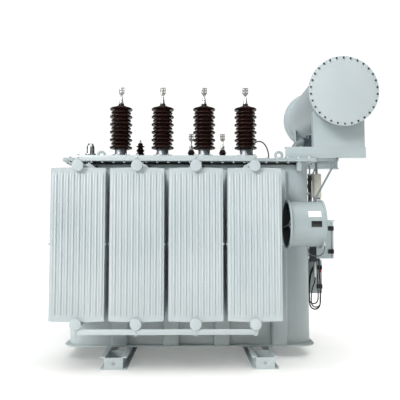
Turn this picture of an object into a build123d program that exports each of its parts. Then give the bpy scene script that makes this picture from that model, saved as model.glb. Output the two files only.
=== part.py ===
from build123d import *
import os
from math import cos, radians, sin, sqrt, tan

# An oil-filled power transformer, built from the ground up. X runs along the tank,
# the radiator side that faces the viewer is -Y, and Z is up from the ground.
# The origin is on the ground below the middle of the tank. All sizes are millimetres.

# Skids: two pairs of channels, back to back, with a pull plate across each end
skid_gauge = 1460.0
skid_length = 1980.0
skid_height = 122.0
skid_width = 257.0
channel_flange = 48.0
channel_web = 9.0
channel_flange_thick = 11.0
pull_plate_thick = 14.0
pull_plate_height = 112.0
pull_hole_radius = 15.0
pull_hole_height = 56.0
cross_plate_setback = 300.0
foundation_hole_radius = 11.0
foundation_hole_span = 1600.0

# Tank: floor plate, bent plate walls, box stiffeners, rim and cover
floor_length = 2654.0
floor_width = 1180.0
floor_thick = 14.0
floor_corner = 160.0
tank_length = 2600.0
tank_width = 1050.0
tank_corner = 185.0
end_plate_return = 82.0
wall_thick = 10.0
wall_height = 1928.0
stiffener_width = 172.0
stiffener_depth = 55.0
stiffener_bend = 16.0
stiffener_top_gap = 90.0
stiffener_place_shares = (-0.356, -0.095, 0.164, 0.456)
rim_thick = 18.0
rim_inner_step = 40.0
cover_length = 2704.0
cover_width = 1230.0
cover_thick = 18.0
cover_corner = 20.0

# Panel radiators, four on each side
radiator_count = 4
radiator_first_x = -1070.0
radiator_pitch = 564.0
radiator_reach = 1130.0
header_low_height = 452.0
header_spacing = 1500.0
header_radius = 42.0
disc_radius = 55.0
disc_thick = 12.0
disc_overhang = 36.0
panel_count = 10
panel_back_gap = 35.0
panel_width = 520.0
panel_height = 1468.0
panel_arch = 8.0
sheet_thick = 3.0
flute_count = 9
flute_pitch = 55.0
flute_width = 44.0
flute_margin = 57.0
flute_depth = 5.0
flute_slope = 40.0
edge_margin = 24.0
header_flange_radius = 80.0
header_flange_thick = 16.0
eye_width = 60.0
eye_height = 70.0
eye_thick = 8.0
eye_top_width = 26.0

# Shut-off valves between the radiators and the tank
valve_length = 100.0
valve_stub_radius = 46.0
valve_stub_length = 26.0
valve_flange_thick = 16.0
valve_body_radius = 66.0
valve_lever_width = 22.0
valve_lever_thick = 10.0
valve_lever_height = 100.0

# Flat bars that tie the radiators of one side together
tie_bar_height = 52.0
tie_bar_thick = 8.0
tie_bar_gap = 4.0
tie_bar_overhang = 30.0
tie_bar_slant = 9.0
seat_gap = 0.3

# High-voltage bushings
hv_count = 4
hv_first_x = -795.0
hv_pitch = 476.0
hv_y = -200.0
hv_riser_radius = 84.0
hv_riser_height = 60.0
hv_flange_radius = 112.0
hv_flange_thick = 24.0
hv_neck_radius = 67.0
hv_neck_height = 70.0
hv_trunk_radius = 74.0
hv_shed_radius = 125.0
hv_small_shed_radius = 110.0
hv_shed_pitch = 89.0
hv_large_sheds = 6
hv_first_rim = 14.0
hv_shed_rise = 4.0
hv_shed_slope_rise = 15.0
hv_rim_thick = 10.0
hv_dome_height = 35.0
hv_top_radius = 42.0
hv_collar_radius = 31.0
hv_collar_height = 27.0
hv_cone_foot_radius = 25.0
hv_cone_top_radius = 10.0
hv_cone_height = 90.0
palm_width = 64.0
palm_height = 67.0
palm_neck_height = 32.0
palm_neck_width = 14.0
palm_thick = 12.0
palm_hole_radius = 7.0
palm_hole_x_span = 36.0
palm_hole_z_span = 32.0

# Low-voltage bushings and the smaller neutral bushing
lv_count = 3
lv_first_x = -381.0
lv_pitch = 388.0
lv_y = 250.0
neutral_x = -605.0
neutral_y = 100.0
lv_foot_radius = 62.0
lv_foot_height = 26.0
lv_trunk_radius = 29.0
lv_shed_radius = 46.0
lv_shed_pitch = 46.0
lv_sheds = 4
lv_first_rim = 12.0
lv_shed_rise = 7.0
lv_rim_thick = 4.0
lv_knob_radius = 24.0
lv_knob_height = 50.0
lv_stud_radius = 10.0
lv_stud_height = 50.0
lv_palm_width = 60.0
lv_palm_height = 70.0
neutral_stud_height = 42.0

# Lifting eyes on the cover, and the pressure relief valve
lug_x = 970.0
lug_y = 450.0
lug_radius = 50.0
lug_eye_height = 52.0
lug_hole_radius = 22.0
lug_thick = 20.0
lug_foot_width = 104.0
lug_foot_height = 26.0
relief_x = -1120.0
relief_y = -300.0
relief_pipe_radius = 36.0
relief_pipe_height = 72.0
relief_flange_radius = 58.0
relief_flange_thick = 18.0
relief_body_radius = 43.0
relief_body_height = 74.0
relief_dome_radius = 26.0
relief_dome_height = 40.0

# Conservator, its saddles, beams and braces
conservator_x = 1616.0
conservator_z = 2798.0
conservator_length = 1458.0
shell_radius = 323.0
shell_thick = 8.0
end_flange_radius = 371.0
end_flange_thick = 16.0
cap_thick = 14.0
beam_left_x = 1029.0
beam_right_x = 1905.0
beam_height = 115.0
beam_depth = 62.0
beam_web = 9.0
beam_flange_thick = 11.0
beam_face_y = 530.0
beam_pad_thick = 20.0
beam_pad_inset = 10.0
saddle_width = 556.0
saddle_plate = 10.0
saddle_depth = 100.0
saddle_foot_thick = 10.0
brace_radius = 11.0
brace_top_x = 1602.0
brace_top_y = 500.0
brace_wall_y = 320.0
brace_wall_drop = 610.0

# Oil pipe with its gas relay, from the cover up to the conservator
pipe_radius = 38.0
pipe_bend = 90.0
riser_x = 1236.0
relay_drop = 426.0
relay_start_x = 1345.0
relay_length = 130.0
relay_flange_radius = 62.0
relay_flange_thick = 14.0
relay_body_radius = 54.0
relay_head_radius = 30.0
relay_head_height = 34.0

# Breathers on the right end wall
breather_x = 1420.0
breather_y = -300.0
breather_top_z = 1964.0
breather_radius = 50.0
breather_height = 267.0
breather_cup_radius = 40.0
breather_cup_height = 22.0
breather_tip_radius = 9.0
breather_cone_height = 38.0
breather_pipe_radius = 14.0
breather_arm_height = 22.0
breather_arm_width = 40.0
breather_arm_gap = 6.0
glass_x = 1342.0
glass_top_z = 1950.0
glass_radius = 21.5
glass_height = 290.0
glass_cap_radius = 25.0
glass_cap_height = 16.0
glass_pipe_radius = 8.0

# Cooling fan, blowing along X through the front radiators
fan_left_x = 971.0
fan_length = 352.0
fan_y = -845.0
fan_z = 1394.0
fan_radius = 225.0
fan_sheet = 6.0
fan_lip_radius = 245.0
fan_lip_width = 18.0
rotor_setback = 44.0
hub_radius = 62.0
hub_length = 62.0
hub_bore_clearance = 0.3
blade_count = 6
blade_tip_gap = 8.0
blade_thick = 5.0
blade_chord = 118.0
blade_pitch_angle = 32.0
blade_sink = 6.0
shaft_radius = 14.0
shaft_end_gap = 6.0
motor_gap = 8.0
motor_radius = 78.0
motor_length = 170.0
strut_count = 3
strut_width = 30.0
strut_thick = 8.0
fan_bracket_thick = 12.0
fan_bracket_height = 260.0
fan_bracket_x = 1036.0
fan_bracket_span = 60.0

# Control cabinet and tap-changer drive box on the right end wall
cabinet_front_y = -350.0
cabinet_back_x = 1396.0
cabinet_depth = 163.0
cabinet_width = 420.0
cabinet_low_z = 1021.0
cabinet_height = 410.0
cabinet_sheet = 3.0
cabinet_roof_thick = 24.0
cabinet_roof_overhang = 42.0
drive_front_y = -100.0
drive_back_x = 1345.0
drive_depth = 144.0
drive_width = 300.0
drive_low_z = 611.0
drive_height = 372.0
drive_roof_thick = 18.0
drive_roof_overhang = 32.0
door_gap = 5.0
door_thick = 22.0
door_drop = 4.0
hinge_offset = 17.0
hinge_pin_radius = 6.0
hinge_knuckle_radius = 11.0
hinge_pin_clearance = 0.3
hinge_half_height = 24.0
hinge_split = 1.0
hinge_leaf_width = 36.0
hinge_leaf_thick = 5.0
hinge_end_margin = 78.0
latch_radius = 16.0
latch_height = 14.0
latch_margin = 40.0
rail_width = 40.0
rail_height = 40.0

# Cables: three loops that hang from the cabinet, the fan's conduit, and a lead on the cover
loop_diameter = 16.0
thin_loop_diameter = 14.0
conduit_diameter = 11.0
lead_diameter = 14.0
arc_run_share = 0.45
gland_radius = 11.5
gland_height = 34.0
plug_radius = 19.0
plug_length = 150.0
plug_nose_radius = 10.0
plug_nose_length = 30.0
conduit_gland_radius = 12.0
conduit_gland_height = 20.0
conduit_end_drop = 212.0
lead_gland_height = 20.0
loop_1_route = (
    (1458, -196), (1458, -196, 900), (1468, -196, 760), (1470, -196, 590), (1468, -196, 500),
    (1450, -195, 458), (1408, -194, 440), (1366, -193, 458), (1348, -192, 500), (1346, -191, 590),
    (1350, -190, 740), (1368, -190, 850), (1412, -190, 925), (1412, -190),
)
loop_2_route = (
    (1440, -166), (1440, -166, 900), (1450, -166, 780), (1453, -166, 630), (1452, -166, 550),
    (1437, -166, 513), (1400, -165, 498), (1363, -165, 513), (1348, -164, 550), (1347, -164, 630),
    (1352, -163, 770), (1372, -163, 870), (1414, -163, 935), (1414, -163),
)
plug_loop_route = (
    (1450, -225), (1450, -225, 880), (1462, -225, 750), (1465, -225, 600), (1464, -225, 520),
    (1449, -225, 483), (1412, -224, 468), (1375, -223, 483), (1360, -223, 520), (1360, -222, 590),
    (1374, -222, 690), (1406, -222, 755), (1406, -222),
)
conduit_route = (
    (1187, -845), (1187, -845, 1112), (1210.6, -874.8, 1084), (1250.4, -924.9, 1074),
    (1290.2, -975, 1090), (1314, -1005, 1134), (1314, -1005),
)
lead_route = (
    (690, -338), (690, -338, 2185), (694, -337, 2255), (716, -334, 2308), (764, -330, 2334),
    (816, -326, 2318), (852, -322, 2272), (874, -320, 2212), (880, -320, 2162), (880, -320),
)

# One overrun serves every cut
overrun = 5.0

# Levels and planes that follow from the sizes above
wall_low = skid_height + floor_thick
wall_top = wall_low + wall_height
cover_low = wall_top + rim_thick
cover_top = cover_low + cover_thick
tank_end = tank_length / 2
tank_face = tank_width / 2
seam_x = tank_end - tank_corner - end_plate_return
header_high_height = header_low_height + header_spacing
panel_middle = header_low_height + header_spacing / 2
stub_face = tank_face + valve_length
shell_bottom = conservator_z - shell_radius
shell_half = conservator_length / 2 - cap_thick

os.makedirs("parts", exist_ok=True)


def keep(part, name):
    part.label = name
    export_step(part, "parts/" + name + ".step")


def side_plane(x, out, reach, z):
    return Plane((x, out * reach, z), x_dir=(1, 0, 0), z_dir=(0, out, 0))


def skid(centre_x):
    web_place = skid_width / 2 - channel_flange + channel_web / 2
    flange_place = (skid_width - channel_flange) / 2
    inner_width = skid_width - 2 * channel_flange
    with BuildPart() as rail:
        with BuildSketch(Plane.XZ) as channels:
            with Locations((centre_x, skid_height / 2)):
                with GridLocations(2 * web_place, 0, 2, 1):
                    Rectangle(channel_web, skid_height)
                with GridLocations(2 * flange_place, skid_height - channel_flange_thick, 2, 2):
                    Rectangle(channel_flange, channel_flange_thick)
        extrude(amount=skid_length / 2, both=True)
        end_place = (skid_length - pull_plate_thick) / 2
        cross_place = skid_length / 2 - cross_plate_setback
        for place in (-end_place, end_place, -cross_place, cross_place):
            with BuildSketch(Plane.XZ.offset(place)):
                with Locations((centre_x, pull_plate_height / 2)):
                    Rectangle(inner_width, pull_plate_height)
            extrude(amount=pull_plate_thick / 2, both=True)
        with BuildSketch(Plane.XZ.offset(-end_place), Plane.XZ.offset(end_place)):
            with Locations((centre_x, pull_hole_height)):
                Circle(pull_hole_radius)
        extrude(amount=pull_plate_thick / 2 + overrun, both=True, mode=Mode.SUBTRACT)
        with BuildSketch(Plane.XY):
            with Locations((centre_x, 0)):
                with GridLocations(2 * flange_place, foundation_hole_span, 2, 2):
                    Circle(foundation_hole_radius)
        extrude(amount=channel_flange_thick + overrun, mode=Mode.SUBTRACT)
    return rail.part


keep(skid(-skid_gauge / 2), "left_skid")
keep(skid(skid_gauge / 2), "right_skid")

with BuildPart() as tank_floor:
    with BuildSketch(Plane.XY.offset(skid_height)):
        RectangleRounded(floor_length, floor_width, floor_corner)
    extrude(amount=floor_thick)
keep(tank_floor.part, "tank_floor")


def flat_wall(out):
    with BuildPart() as wall:
        with BuildSketch(Plane.XY.offset(wall_low)):
            with Locations((0, out * (tank_face - wall_thick / 2))):
                Rectangle(2 * seam_x, wall_thick)
        extrude(amount=wall_height)
    return wall.part


def bent_end(kept):
    with BuildPart() as end:
        with BuildSketch(Plane.XY.offset(wall_low)):
            RectangleRounded(tank_length, tank_width, tank_corner)
            inner_length = tank_length - 2 * wall_thick
            inner_width = tank_width - 2 * wall_thick
            RectangleRounded(inner_length, inner_width, tank_corner - wall_thick, mode=Mode.SUBTRACT)
        extrude(amount=wall_height)
        side = -1 if kept == Keep.BOTTOM else 1
        split(bisect_by=Plane.YZ.offset(side * seam_x), keep=kept)
    return end.part


keep(flat_wall(-1), "tank_front_wall")
keep(flat_wall(1), "tank_rear_wall")
keep(bent_end(Keep.BOTTOM), "tank_left_end")
keep(bent_end(Keep.TOP), "tank_right_end")

with BuildPart() as wall_stiffeners:
    for out in (-1, 1):
        for share in stiffener_place_shares:
            x = share * 2 * seam_x
            with BuildSketch(Plane.XY.offset(wall_low)):
                with BuildLine():
                    Polyline(
                        (x - stiffener_width / 2, out * tank_face),
                        (x - stiffener_width / 2, out * (tank_face + stiffener_depth - stiffener_bend)),
                        (x - stiffener_width / 2 + stiffener_bend, out * (tank_face + stiffener_depth)),
                        (x + stiffener_width / 2 - stiffener_bend, out * (tank_face + stiffener_depth)),
                        (x + stiffener_width / 2, out * (tank_face + stiffener_depth - stiffener_bend)),
                        (x + stiffener_width / 2, out * tank_face),
                        close=True,
                    )
                make_face()
            extrude(amount=wall_height - stiffener_top_gap)
keep(wall_stiffeners.part, "wall_stiffeners")

with BuildPart() as tank_rim:
    with BuildSketch(Plane.XY.offset(wall_top)):
        RectangleRounded(cover_length, cover_width, cover_corner)
        RectangleRounded(
            tank_length - 2 * rim_inner_step,
            tank_width - 2 * rim_inner_step,
            tank_corner - rim_inner_step,
            mode=Mode.SUBTRACT,
        )
    extrude(amount=rim_thick)
keep(tank_rim.part, "tank_rim")

with BuildPart() as tank_cover:
    with BuildSketch(Plane.XY.offset(cover_low)):
        RectangleRounded(cover_length, cover_width, cover_corner)
    extrude(amount=cover_thick)
keep(tank_cover.part, "tank_cover")


def panel_outline():
    # pressed panel with a slightly arched top and bottom edge
    half_width = panel_width / 2
    half_height = panel_height / 2
    with BuildLine() as outline:
        ThreePointArc(
            (-half_width, half_height - panel_arch),
            (0, half_height),
            (half_width, half_height - panel_arch),
        )
        Line((half_width, half_height - panel_arch), (half_width, panel_arch - half_height))
        ThreePointArc(
            (half_width, panel_arch - half_height),
            (0, -half_height),
            (-half_width, panel_arch - half_height),
        )
        Line((-half_width, panel_arch - half_height), (-half_width, half_height - panel_arch))
    make_face(outline.edges())


flute_height = panel_height - 2 * flute_margin
front_reach = radiator_reach - disc_overhang - flute_depth
back_reach = stub_face + header_flange_thick + panel_back_gap + flute_depth + sheet_thick
panel_pitch = (front_reach - back_reach) / (panel_count - 1)
header_heights = (header_low_height, header_high_height)
panel_reaches = [front_reach - count * panel_pitch for count in range(panel_count)]
outer_reaches = (panel_reaches[0], panel_reaches[-1])
inner_reaches = panel_reaches[1:-1]


def panel_planes(reaches):
    # both faces of each sheet
    fronts = [side_plane(0, -1, reach, panel_middle) for reach in reaches]
    backs = [side_plane(0, 1, sheet_thick - reach, panel_middle) for reach in reaches]
    return fronts + backs


# One bank at the middle of the tank, facing -Y: pressed panels that sit on two header pipes
with BuildPart() as bank_panels:
    with BuildSketch(*[side_plane(0, -1, reach, panel_middle) for reach in panel_reaches]):
        panel_outline()
    extrude(amount=-sheet_thick)
    with BuildSketch(*panel_planes(outer_reaches)):
        with GridLocations(flute_pitch, 0, flute_count, 1):
            Rectangle(flute_width, flute_height)
    extrude(amount=flute_depth, taper=flute_slope)
    with BuildSketch(*panel_planes(inner_reaches)):
        Rectangle(panel_width - 2 * edge_margin, flute_height)
    extrude(amount=flute_depth, taper=flute_slope)
    with BuildSketch(*[side_plane(0, -1, radiator_reach, height) for height in header_heights]):
        Circle(header_radius + seat_gap)
    extrude(amount=stub_face - radiator_reach, mode=Mode.SUBTRACT)

with BuildPart() as bank_headers:
    with BuildSketch(*[side_plane(0, -1, radiator_reach, height) for height in header_heights]):
        Circle(disc_radius)
    extrude(amount=-disc_thick)
    with BuildSketch(*[side_plane(0, -1, radiator_reach, height) for height in header_heights]):
        Circle(header_radius)
    extrude(amount=stub_face - radiator_reach)

# Slip-on flanges at the valve end of the pipes
with BuildPart() as bank_flanges:
    with BuildSketch(*[side_plane(0, -1, stub_face, height) for height in header_heights]):
        Circle(header_flange_radius)
        Circle(header_radius + seat_gap, mode=Mode.SUBTRACT)
    extrude(amount=header_flange_thick)

# Lifting eyes that sit on the pipes, behind the tie bars
bar_reach = radiator_reach - disc_thick - seat_gap
eye_reach = bar_reach - tie_bar_thick - seat_gap
with BuildPart() as bank_eyes:
    for turn, height in ((1, header_high_height), (-1, header_low_height)):
        tip = turn * (header_radius + eye_height)
        with BuildSketch(side_plane(0, -1, eye_reach, height)):
            with BuildLine():
                Polyline(
                    (-eye_width / 2, 0),
                    (-eye_width / 2, turn * header_radius),
                    (-eye_top_width / 2, tip),
                    (eye_top_width / 2, tip),
                    (eye_width / 2, turn * header_radius),
                    (eye_width / 2, 0),
                    close=True,
                )
            make_face()
            Circle(header_radius + seat_gap, mode=Mode.SUBTRACT)
        extrude(amount=-eye_thick)

for half_turn, side in ((0, "front"), (180, "rear")):
    for count in range(radiator_count):
        bank_x = radiator_first_x + count * radiator_pitch
        with BuildPart() as placed_bank:
            with Locations(Location((bank_x, 0, 0), (0, 0, half_turn))):
                for pieces in (bank_panels, bank_headers, bank_flanges, bank_eyes):
                    add(pieces.part)
        keep(placed_bank.part, side + "_radiator_" + str(count + 1))

with BuildPart() as radiator_valves:
    for out in (-1, 1):
        for count in range(radiator_count):
            x = radiator_first_x + count * radiator_pitch
            for height in (header_low_height, header_high_height):
                with BuildSketch(side_plane(x, out, tank_face, height)):
                    Circle(valve_stub_radius)
                extrude(amount=valve_stub_length)
                with BuildSketch(side_plane(x, out, tank_face + valve_stub_length, height)):
                    Circle(header_flange_radius)
                extrude(amount=valve_flange_thick)
                body_start = tank_face + valve_stub_length + valve_flange_thick
                with BuildSketch(side_plane(x, out, body_start, height)):
                    Circle(valve_body_radius)
                extrude(amount=stub_face - body_start)
                lever_place = out * (body_start + stub_face) / 2
                with BuildSketch(Plane.XY.offset(height)):
                    with Locations((x, lever_place)):
                        Rectangle(valve_lever_width, valve_lever_thick)
                extrude(amount=valve_lever_height)
keep(radiator_valves.part, "radiator_valves")

with BuildPart() as radiator_tie_bars:
    bar_length = (radiator_count - 1) * radiator_pitch + 2 * tie_bar_overhang
    bar_x = radiator_first_x + (radiator_count - 1) * radiator_pitch / 2
    bar_offset = header_radius + tie_bar_gap + tie_bar_height / 2
    for out in (-1, 1):
        for height in (header_high_height + bar_offset, header_low_height - bar_offset):
            low_half = bar_length / 2
            high_half = bar_length / 2 - tie_bar_slant
            inward = out if height > header_low_height else -out
            low, high = (inward * tie_bar_height / 2, -inward * tie_bar_height / 2)
            with BuildSketch(side_plane(bar_x, out, bar_reach, height)):
                with BuildLine():
                    Polyline(
                        (-low_half, low), (-high_half, high), (high_half, high), (low_half, low), close=True
                    )
                make_face()
            extrude(amount=-tie_bar_thick)
keep(radiator_tie_bars.part, "radiator_tie_bars")

hv_flange_low = cover_top + hv_riser_height
hv_flange_top = hv_flange_low + hv_flange_thick
hv_neck_top = hv_flange_top + hv_neck_height
hv_last_rim = hv_neck_top + hv_first_rim + (hv_large_sheds - 1) * hv_shed_pitch
hv_top = hv_last_rim + hv_rim_thick + hv_dome_height
hv_collar_top = hv_top + hv_collar_height
hv_cone_top = hv_collar_top + hv_cone_height
hv_places = [hv_first_x + count * hv_pitch for count in range(hv_count)]


def turned(x, y, points):
    # one turned piece about the upright line at x, y from half-section points (radius, height)
    with BuildSketch(Plane((x, y, 0), x_dir=(1, 0, 0), z_dir=(0, -1, 0))) as section:
        with BuildLine():
            Polyline(*points, close=True)
        make_face()
    revolve(section.sketch, axis=Axis((x, y, 0), (0, 0, 1)))


with BuildPart() as hv_bushing_bases:
    for x in hv_places:
        turned(
            x,
            hv_y,
            [
                (0, cover_top),
                (hv_riser_radius, cover_top),
                (hv_riser_radius, hv_flange_low),
                (hv_flange_radius, hv_flange_low),
                (hv_flange_radius, hv_flange_top),
                (hv_neck_radius, hv_flange_top),
                (hv_neck_radius, hv_neck_top),
                (0, hv_neck_top),
            ],
        )
keep(hv_bushing_bases.part, "hv_bushing_bases")

hv_section = [(0, hv_neck_top), (hv_trunk_radius, hv_neck_top)]
for count in range(2 * hv_large_sheds - 1):
    rim = hv_neck_top + hv_first_rim + count * hv_shed_pitch / 2
    reach = hv_shed_radius if count % 2 == 0 else hv_small_shed_radius
    hv_section.append((hv_trunk_radius, rim + hv_shed_rise))
    hv_section.append((reach, rim))
    hv_section.append((reach, rim + hv_rim_thick))
    if rim < hv_last_rim:
        hv_section.append((hv_trunk_radius, rim + hv_rim_thick + hv_shed_slope_rise))
hv_section.append((hv_top_radius, hv_top))
hv_section.append((0, hv_top))

with BuildPart() as hv_porcelains:
    for x in hv_places:
        turned(x, hv_y, hv_section)
keep(hv_porcelains.part, "hv_porcelains")

with BuildPart() as hv_collars:
    for x in hv_places:
        with BuildSketch(Plane.XY.offset(hv_top)):
            with Locations((x, hv_y)):
                Circle(hv_collar_radius)
        extrude(amount=hv_collar_height)
keep(hv_collars.part, "hv_collars")


def palm(x, y, low, neck_width, width, height):
    # flat palm on a tapered neck, with four bolt holes
    with BuildSketch(Plane((x, y, low), x_dir=(1, 0, 0), z_dir=(0, -1, 0))) as plate:
        with BuildLine():
            Polyline(
                (-neck_width / 2, 0),
                (-width / 2, palm_neck_height),
                (-width / 2, palm_neck_height + height),
                (width / 2, palm_neck_height + height),
                (width / 2, palm_neck_height),
                (neck_width / 2, 0),
                close=True,
            )
        make_face()
        with Locations((0, palm_neck_height + height / 2)):
            with GridLocations(palm_hole_x_span, palm_hole_z_span, 2, 2):
                Circle(palm_hole_radius, mode=Mode.SUBTRACT)
    extrude(plate.sketch, amount=palm_thick / 2, both=True)


with BuildPart() as hv_terminals:
    for x in hv_places:
        turned(
            x,
            hv_y,
            [
                (0, hv_collar_top),
                (hv_cone_foot_radius, hv_collar_top),
                (hv_cone_top_radius, hv_cone_top),
                (0, hv_cone_top),
            ],
        )
        palm(x, hv_y, hv_cone_top, palm_neck_width, palm_width, palm_height)
keep(hv_terminals.part, "hv_terminals")

lv_low = cover_top + lv_foot_height
lv_top = lv_low + lv_first_rim + lv_sheds * lv_shed_pitch
lv_knob_top = lv_top + lv_knob_height
lv_stud_top = lv_knob_top + lv_stud_height
lv_places = [(lv_first_x + count * lv_pitch, lv_y) for count in range(lv_count)]
low_places = lv_places + [(neutral_x, neutral_y)]

with BuildPart() as lv_feet:
    for x, y in low_places:
        with BuildSketch(Plane.XY.offset(cover_top)):
            with Locations((x, y)):
                Circle(lv_foot_radius)
        extrude(amount=lv_foot_height)
keep(lv_feet.part, "lv_bushing_feet")

lv_section = [(0, lv_low), (lv_trunk_radius, lv_low)]
for count in range(lv_sheds):
    rim = lv_low + lv_first_rim + count * lv_shed_pitch
    lv_section.append((lv_trunk_radius, rim + lv_shed_rise))
    lv_section.append((lv_shed_radius, rim))
    lv_section.append((lv_shed_radius, rim + lv_rim_thick))
lv_section.append((lv_trunk_radius, lv_top))
lv_section.append((0, lv_top))

with BuildPart() as lv_porcelains:
    for x, y in low_places:
        turned(x, y, lv_section)
keep(lv_porcelains.part, "lv_porcelains")

with BuildPart() as lv_terminals:
    for x, y in low_places:
        neutral = y == neutral_y
        stud_top = lv_knob_top + (neutral_stud_height if neutral else lv_stud_height)
        turned(
            x,
            y,
            [
                (0, lv_top),
                (lv_knob_radius, lv_top),
                (lv_knob_radius, lv_knob_top),
                (lv_stud_radius, lv_knob_top),
                (lv_stud_radius, stud_top),
                (0, stud_top),
            ],
        )
        if not neutral:
            palm(x, y, lv_stud_top, palm_neck_width, lv_palm_width, lv_palm_height)
keep(lv_terminals.part, "lv_terminals")

with BuildPart() as lifting_lugs:
    for x in (-lug_x, lug_x):
        for y in (-lug_y, lug_y):
            with BuildSketch(Plane((x, y, cover_top), x_dir=(1, 0, 0), z_dir=(0, -1, 0))):
                with Locations((0, lug_foot_height / 2)):
                    Rectangle(lug_foot_width, lug_foot_height)
                with Locations((0, lug_eye_height)):
                    Circle(lug_radius)
                with Locations((0, -lug_radius)):
                    Rectangle(2 * lug_foot_width, 2 * lug_radius, mode=Mode.SUBTRACT)
                with Locations((0, lug_eye_height)):
                    Circle(lug_hole_radius, mode=Mode.SUBTRACT)
            extrude(amount=lug_thick / 2, both=True)
keep(lifting_lugs.part, "lifting_lugs")

relief_flange_low = cover_top + relief_pipe_height
relief_body_low = relief_flange_low + relief_flange_thick
relief_body_top = relief_body_low + relief_body_height
with BuildPart() as pressure_relief_valve:
    turned(
        relief_x,
        relief_y,
        [
            (0, cover_top),
            (relief_pipe_radius, cover_top),
            (relief_pipe_radius, relief_flange_low),
            (relief_flange_radius, relief_flange_low),
            (relief_flange_radius, relief_body_low),
            (relief_body_radius, relief_body_low),
            (relief_body_radius, relief_body_top),
            (relief_dome_radius, relief_body_top + relief_dome_height),
            (0, relief_body_top + relief_dome_height),
        ],
    )
keep(pressure_relief_valve.part, "pressure_relief_valve")

beam_low = cover_top + beam_pad_thick
beam_top = beam_low + beam_height
with BuildPart() as conservator_beams:
    for out in (-1, 1):
        face = out * beam_face_y
        with BuildSketch(Plane.YZ.offset(beam_left_x)):
            with BuildLine():
                Polyline(
                    (face, beam_low),
                    (face, beam_top),
                    (face - out * beam_depth, beam_top),
                    (face - out * beam_depth, beam_top - beam_flange_thick),
                    (face - out * beam_web, beam_top - beam_flange_thick),
                    (face - out * beam_web, beam_low + beam_flange_thick),
                    (face - out * beam_depth, beam_low + beam_flange_thick),
                    (face - out * beam_depth, beam_low),
                    close=True,
                )
            make_face()
        extrude(amount=beam_right_x - beam_left_x)
        # pad that lifts the beam off the cover
        pad_length = cover_length / 2 - beam_left_x - 2 * beam_pad_inset
        with BuildSketch(Plane.XY.offset(cover_top)):
            with Locations((beam_left_x + beam_pad_inset + pad_length / 2, face - out * beam_depth / 2)):
                Rectangle(pad_length, beam_depth)
        extrude(amount=beam_pad_thick)
keep(conservator_beams.part, "conservator_beams")

with BuildPart() as conservator_saddles:
    # each saddle is a plate cut to the shell, with a foot on the beam and bent side flanges
    saddle_top = conservator_z - sqrt(shell_radius**2 - (saddle_width / 2) ** 2)
    saddle_height = saddle_top - beam_top
    saddle_seat = shell_radius + seat_gap
    for out in (-1, 1):
        plane = Plane((conservator_x, out * beam_face_y, beam_top), (1, 0, 0), (0, -1, 0))
        with BuildSketch(plane):
            with Locations((0, saddle_height / 2)):
                Rectangle(saddle_width, saddle_height)
        extrude(amount=out * saddle_plate)
        with BuildSketch(plane):
            with GridLocations(saddle_width - saddle_plate, 0, 2, 1):
                with Locations((0, saddle_height / 2)):
                    Rectangle(saddle_plate, saddle_height)
        extrude(amount=out * saddle_depth)
        with BuildSketch(plane):
            with Locations((0, saddle_foot_thick / 2)):
                Rectangle(saddle_width, saddle_foot_thick)
        extrude(amount=out * beam_depth)
    with BuildSketch(Plane.XZ):
        with Locations((conservator_x, conservator_z)):
            Circle(saddle_seat)
    extrude(amount=conservator_length, both=True, mode=Mode.SUBTRACT)
keep(conservator_saddles.part, "conservator_saddles")

with BuildPart() as conservator_shell:
    with BuildSketch(Plane.XZ):
        with Locations((conservator_x, conservator_z)):
            Circle(shell_radius)
    extrude(amount=shell_half, both=True)
    for out in (-1, 1):
        with BuildSketch(side_plane(conservator_x, out, shell_half, conservator_z)):
            Circle(end_flange_radius)
        extrude(amount=-end_flange_thick)
    with BuildSketch(Plane.XZ):
        with Locations((conservator_x, conservator_z)):
            Circle(shell_radius - shell_thick)
    extrude(amount=conservator_length, both=True, mode=Mode.SUBTRACT)
keep(conservator_shell.part, "conservator_shell")


def end_cap(out):
    with BuildPart() as cap:
        with BuildSketch(side_plane(conservator_x, out, shell_half, conservator_z)):
            Circle(end_flange_radius)
        extrude(amount=cap_thick)
    return cap.part


keep(end_cap(-1), "conservator_front_cap")
keep(end_cap(1), "conservator_rear_cap")

with BuildPart() as conservator_braces:
    # slanting rods from the beams' overhang down to the end wall
    for out in (-1, 1):
        high = Vector(brace_top_x, out * brace_top_y, beam_low)
        low = Vector(tank_end, out * brace_wall_y, beam_low - brace_wall_drop)
        run = high - low
        tail = run * ((brace_radius + overrun) / run.X * 2)
        start = low - tail
        with BuildSketch(Plane(start, z_dir=run)):
            Circle(brace_radius)
        extrude(amount=run.length + 2 * tail.length)
    split(bisect_by=Plane.YZ.offset(tank_end), keep=Keep.TOP)
    split(bisect_by=Plane.XY.offset(beam_low), keep=Keep.BOTTOM)
keep(conservator_braces.part, "conservator_braces")

relay_z = conservator_z - relay_drop
relay_end_x = relay_start_x + relay_length
with BuildPart() as oil_pipes:
    with BuildLine() as riser_path:
        FilletPolyline(
            (riser_x, 0, cover_top),
            (riser_x, 0, relay_z),
            (relay_start_x, 0, relay_z),
            radius=pipe_bend,
        )
    with BuildSketch(Plane((riser_x, 0, cover_top))):
        Circle(pipe_radius)
    sweep(path=riser_path.wire())
    with BuildLine() as outlet_path:
        FilletPolyline(
            (relay_end_x, 0, relay_z),
            (conservator_x, 0, relay_z),
            (conservator_x, 0, shell_bottom + overrun),
            radius=pipe_bend,
        )
    with BuildSketch(Plane((relay_end_x, 0, relay_z), z_dir=(1, 0, 0))):
        Circle(pipe_radius)
    sweep(path=outlet_path.wire())
    with BuildSketch(Plane.XY.offset(breather_top_z)):
        with Locations((breather_x, breather_y)):
            Circle(breather_pipe_radius)
    extrude(amount=conservator_z - breather_top_z)
    with BuildSketch(Plane.XZ):
        with Locations((conservator_x, conservator_z)):
            Circle(shell_radius + seat_gap)
    extrude(amount=conservator_length, both=True, mode=Mode.SUBTRACT)
keep(oil_pipes.part, "oil_pipes")

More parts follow.
